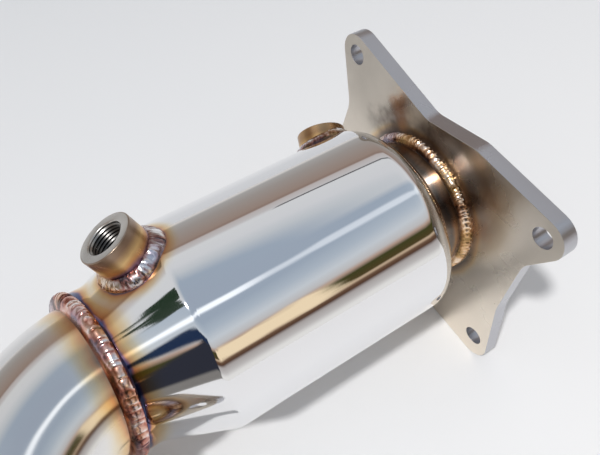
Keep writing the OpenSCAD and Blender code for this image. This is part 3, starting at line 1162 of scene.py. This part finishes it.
# Height angle in degrees and colour of the surroundings towards -Y: pale ground, a dark rail, a warm wall, the sky
NEAR_SIDE = (
    (-90, (0.80, 0.80, 0.80)), (2, (0.74, 0.73, 0.71)), (7, (0.50, 0.48, 0.47)), (13, (0.38, 0.35, 0.34)),
    (16, (0.08, 0.04, 0.025)), (19, (0.14, 0.08, 0.05)), (21.5, (0.56, 0.42, 0.29)), (23, (0.07, 0.05, 0.018)),
    (29.5, (0.05, 0.05, 0.016)), (33, (0.42, 0.30, 0.24)), (36, (0.50, 0.49, 0.49)), (43, (0.54, 0.58, 0.62)),
    (52, (0.40, 0.46, 0.53)), (62, (0.32, 0.38, 0.46)), (90, (0.32, 0.37, 0.45)),
)
# The same towards +Y: a plain warm wall under the sky
FAR_SIDE = (
    (-90, (0.80, 0.80, 0.80)), (0, (0.62, 0.60, 0.58)), (3, (0.36, 0.35, 0.34)), (14, (0.31, 0.28, 0.26)),
    (32, (0.29, 0.22, 0.185)), (35, (0.24, 0.17, 0.14)), (36.5, (0.46, 0.42, 0.41)), (41.4, (0.50, 0.48, 0.48)),
    (44, (0.62, 0.63, 0.64)), (55, (0.60, 0.61, 0.63)), (63, (0.50, 0.53, 0.56)), (72, (0.32, 0.38, 0.46)),
    (90, (0.32, 0.37, 0.45)),
)
# A bright opening, a thin wire, a dark block with its lower part and foot, and a hedge
THINGS = (
    Surrounding(-84, 15.5, 27, 6, (0.84, 0.68, 0.46), 4.0, 1.5),
    Surrounding(52, 13, 42.8, 0.55, (0.05, 0.05, 0.055), 0.7),
    Surrounding(-132.5, 18.5, 40, 4.5, (0.016, 0.030, 0.070), 3.0, 1.0),
    Surrounding(-125, 11, 21, 16, (0.026, 0.028, 0.040), 3.0, 1.0),
    Surrounding(-124, 9, 3, 5, (0.20, 0.19, 0.18), 4.0),
    Surrounding(168, 16, 52.5, 3.0, (0.018, 0.034, 0.020), 1.5, 2.5),
)


@dataclass
class Studio:
    """Pale floor, soft light and the photograph's camera."""

    focal_px: float = 594.84
    frame_px: float = 600.0
    sensor: float = 36.0
    position: Colour = (-171.7, -116.06, 254.67)
    right: Colour = (0.83615, -0.5469, 0.04183)
    up: Colour = (0.43772, 0.71128, 0.54998)
    sky_strength: float = 1.12
    sun_power: float = 1.9
    sun_width: float = 4.0
    sun: Colour = (-0.47, -0.07, 0.88)
    streak: Colour = (-0.055, 0.916, 0.389)
    streak_rise: float = 0.10
    streak_light: Colour = (1.25, 1.30, 1.35)
    floor_half: float = 3.0
    floor_gap: float = 0.1
    board_painted_light_near: Colour = (0.92, 0.912, 0.905)
    board_painted_light_far: Colour = (0.70, 0.71, 0.72)
    board_rough: float = 0.75

    def camera(self) -> None:
        """Sets the camera that the photograph was fitted with."""
        data = bpy.data.cameras.new("photo camera")
        data.sensor_width = self.sensor
        data.lens = self.focal_px / self.frame_px * self.sensor
        data.clip_start, data.clip_end = 0.01, 50.0
        made = bpy.data.objects.new("photo camera", data)
        bpy.context.scene.collection.objects.link(made)
        right = Vector(self.right).normalized()
        up = (Vector(self.up) - right * right.dot(Vector(self.up))).normalized()
        turn = Matrix((right, up, right.cross(up))).transposed()
        made.matrix_world = Matrix.Translation(Vector(self.position) * MM) @ turn.to_4x4()
        bpy.context.scene.camera = made
        bpy.context.scene.view_settings.view_transform = "Standard"

    def floor(self) -> None:
        """Lays the pale floor, with a painted fall-off in brightness away from the window."""
        plate = bmesh.new()
        bmesh.ops.create_grid(plate, x_segments=1, y_segments=1, size=self.floor_half)
        mesh = bpy.data.meshes.new("pale_floor")
        plate.to_mesh(mesh)
        plate.free()
        made = bpy.data.objects.new("pale_floor", mesh)
        made.location.z = FLOOR_Z - self.floor_gap * MM
        bpy.context.scene.collection.objects.link(made)
        tree = finish_tree("pale board")
        # Painted light: the floor's colour dims from the near side to the far side, as light falling off
        away = tree.past_plane(Vector((0, 0, 0)), Vector((0.1, 0.99, 0)))
        shade = tree.fit(away, 0.0, 1.0, -0.15, 0.35)
        tree.feed(tree.shader.inputs["Base Color"], tree.mix(shade, self.board_painted_light_near, self.board_painted_light_far))
        tree.shader.inputs["Roughness"].default_value = self.board_rough
        mesh.materials.append(tree.owner)

    def sky(self) -> None:
        """Makes the surroundings: a pale sky over a warm wall on one side and a dark hedge on the other."""
        tree = Tree(bpy.data.worlds.new("surroundings"))
        bpy.context.scene.world = tree.owner
        parts = tree.node("ShaderNodeSeparateXYZ")
        tree.feed(parts.inputs[0], tree.place("Generated"))
        x, y, z = parts.outputs
        level = tree.math("DEGREES", tree.math("ARCSINE", z))
        compass = tree.math("DEGREES", tree.math("ARCTAN2", y, x))
        spread = tree.fit(level, 0.0, 1.0, -90.0, 90.0)
        colour = tree.mix(
            tree.fit(y, 0.0, 1.0, -0.05, 0.05),
            *(tree.ramp(spread, [((at + 90) / 180, c) for at, c in stops]) for stops in (NEAR_SIDE, FAR_SIDE)),
        )
        for thing in THINGS:
            colour = thing.paint(tree, compass, level, colour)
        share = self.shine(tree, x, z)
        tree.feed(tree.shader.inputs["Color"], tree.mix(share, colour, self.streak_light))
        tree.shader.inputs["Strength"].default_value = self.sky_strength

    def shine(self, tree: Tree, x: NodeSocket, z: NodeSocket) -> NodeSocket:
        """Adds the bright streak high in the sky, which draws the white line along the can.

        Args:
            tree: The world's tree.
            x: First part of the direction looked in.
            z: Last part of that direction.

        Returns:
            The streak's share, from 0 to 1.
        """
        seen = tree.place("Generated")
        across = tree.vector("DOT_PRODUCT", seen, self.streak).outputs["Value"]
        wisp = tree.uneven(5.0, 4.0, 0.02, 0.06, 0.15, seen)
        off = tree.math("ABSOLUTE", tree.math("SUBTRACT", across, self.streak_rise))
        line = tree.fit(tree.math("SUBTRACT", off, wisp), 1.0, 0.0, -0.03, 0.03, True)
        high = tree.fit(z, 0.0, 1.0, 0.60, 0.68, True)
        return tree.math("MULTIPLY", tree.math("MULTIPLY", line, high), tree.fit(x, 0.75, 0.33, 0.17, 0.27, True))

    def lights(self) -> None:
        """Hangs the soft sun, which lies where the photograph's shadows put it."""
        sun = bpy.data.lights.new("soft sun", "SUN")
        sun.energy, sun.angle = self.sun_power, math.radians(self.sun_width)
        made = bpy.data.objects.new("soft sun", sun)
        made.matrix_world = Vector(self.sun).to_track_quat("Z", "Y").to_matrix().to_4x4()
        bpy.context.scene.collection.objects.link(made)

    def build(self) -> None:
        """Makes the whole setting."""
        self.camera()
        self.floor()
        self.sky()
        self.lights()


# Angle from +Y to +Z, half width in degrees, reach, tint and strength of the marks round the turbo flange's weld:
# heat tint, except the pale streak at 112°, which is a painted highlight
PLATE_RAYS = (
    HeatTintAndSheenRay(48, 34, 19, Tint.SCALE, 0.8),
    HeatTintAndSheenRay(57, 13, 22, Tint.ORANGE, 0.9),
    HeatTintAndSheenRay(86, 26, 17, Tint.SCALE, 0.85),
    # Painted highlight: a pale streak where the plate catches the light
    HeatTintAndSheenRay(112, 9, 46, Tint.PALE, 1.0),
    HeatTintAndSheenRay(128, 17, 30, Tint.BROWN, 0.9),
    HeatTintAndSheenRay(150, 16, 12, Tint.ORANGE, 0.6),
    HeatTintAndSheenRay(-100, 60, 9, Tint.BROWN, 0.35),
)
# Quarter round from the foot to the top, for a bead one unit wide and high
ROUND = (
    (0.0, 0.0), (1.0, 0.0), (0.97, 0.25), (0.87, 0.47), (0.72, 0.67), (0.52, 0.85), (0.28, 0.99), (0.0, 1.06),
)
# Radius about the pipe's axis and depth past the shell's mouth
GIRTH = [
    (36.6, 0.0), (38.0, -1.7), (38.8, -1.4), (39.6, -0.7), (40.1, 0.3), (40.3, 1.5), (40.0, 2.6), (39.2, 3.6),
    (38.0, 4.3), (36.5, 4.8), (35.0, 5.1), (34.6, 4.4), (34.6, 0.4),
]


def corner_bead(foot: float, width: float, height: float, sink: float = 0.0) -> Section:
    """Returns the section of a bead in a corner, from its foot's radius, its width and height, and its sink."""
    return [(foot + r * width, z * height - sink) for r, z in ROUND]


@dataclass
class Downpipe:
    """The whole part: tubes, flanges, bungs, beads and what lies inside."""

    nodes: dict[str, Object]
    shell: ConverterShell = field(default_factory=ConverterShell)
    pipe: OutletPipe = field(default_factory=OutletPipe)
    neck_weld: float = 3.5
    neck_tint: float = 40.0
    turbo_grain: Colour = (1.0, 50.0, 1.5)
    outlet_weld: float = 4.4
    outlet_tint: float = 39.0
    outlet_grain: Colour = (50.0, 1.0, 1.5)
    saddle: tuple[float, ...] = (12.6, 4.1, 4.0, 0.3)
    cover: BVHTree = field(init=False)

    def __post_init__(self) -> None:
        """Keeps the shell's solid as a surface for the saddle beads to lie on."""
        solid = self.nodes["converter_shell"].data
        faces = [tuple(p.vertices) for p in solid.polygons]
        self.cover = BVHTree.FromPolygons([v.co.copy() for v in solid.vertices], faces)

    def plates(self) -> None:
        """Makes both flanges."""
        face, along = Vector((0, 0, 0)), Vector((1, 0, 0))
        turbo = PlateFinish("ground plate", face, along, self.turbo_grain, self.neck_tint, PLATE_RAYS)
        CutPlate("cut_plate", "turbo_flange", turbo).build(self.nodes["turbo_flange"])
        end, flow = self.pipe.tail_frame().translation, self.pipe.flow()
        outlet = PlateFinish("ground outlet plate", end, flow, self.outlet_grain, self.outlet_tint)
        CutPlate("outlet_plate", "outlet_flange", outlet).build(self.nodes["outlet_flange"])

    def bungs(self) -> None:
        """Makes both sensor bungs."""
        FRONT_BUNG.build(FRONT_BUNG.finish("bronzed bung", Steel.BRONZED, 0.75, 0.1), "bronzed_steel")
        REAR_BUNG.build(REAR_BUNG.finish("turned bung", Steel.TURNED, 0.8, 0.65), "turned_steel")

    def flange_beads(self) -> None:
        """Makes the beads on both flanges."""
        section = corner_bead(self.shell.neck_r, self.neck_weld, self.neck_weld)
        neck = WeldBead("neck", "flange_weld", "gold_weld", BeadColour.GOLD, section, pitch=2.5, dip=0.45, seed=1.0)
        neck.build(along_can() @ Matrix.Translation((0, 0, self.shell.plate * MM)))
        section = corner_bead(self.pipe.radius, self.outlet_weld, self.outlet_weld)
        outlet = WeldBead("outlet", "outlet_weld", "gold_weld", BeadColour.GOLD, section, pitch=2.6, seed=2.0)
        back = Matrix.Translation((0, 0, (self.pipe.tail - self.pipe.plate) * MM))
        outlet.build(self.pipe.tail_frame() @ back @ Matrix.Rotation(math.pi, 4, "X"))

    def girth_bead(self) -> None:
        """Makes the bead between the shell and the pipe."""
        GirthBead(
            "girth", "pipe_weld", "rose_weld", BeadColour.ROSE, GIRTH, pitch=3.5, dip=0.55, wander=0.45, seed=3.0,
            facets=10, pipe=self.pipe, shell=self.shell,
        ).build(self.pipe.frame())

    def saddle_beads(self) -> None:
        """Makes the beads round the bungs."""
        for bung, seed in ((FRONT_BUNG, 4.0), (REAR_BUNG, 6.0)):
            SaddleBead(
                f"{bung.name}_saddle", f"{bung.name}_bung_weld", "violet_weld", BeadColour.SILVER,
                corner_bead(*self.saddle), pitch=4.2, dip=0.28, wander=0.5, seed=seed, facets=10, bung=bung,
                shell=self.cover,
            ).build(bung.frame())

    def build(self) -> None:
        """Makes everything, in order."""
        self.shell.build()
        self.pipe.build()
        self.plates()
        self.bungs()
        self.flange_beads()
        self.girth_bead()
        self.saddle_beads()
        InnerPieces(self.nodes).dress()


def main() -> None:
    """Sets the studio and builds the dressed downpipe, piece by piece."""
    logging.basicConfig(level=logging.INFO, format="%(name)s: %(message)s")
    Studio().build()
    LOG.info("studio set")
    Downpipe(frame["nodes"]).build()


if __name__ == "__main__":
    main()
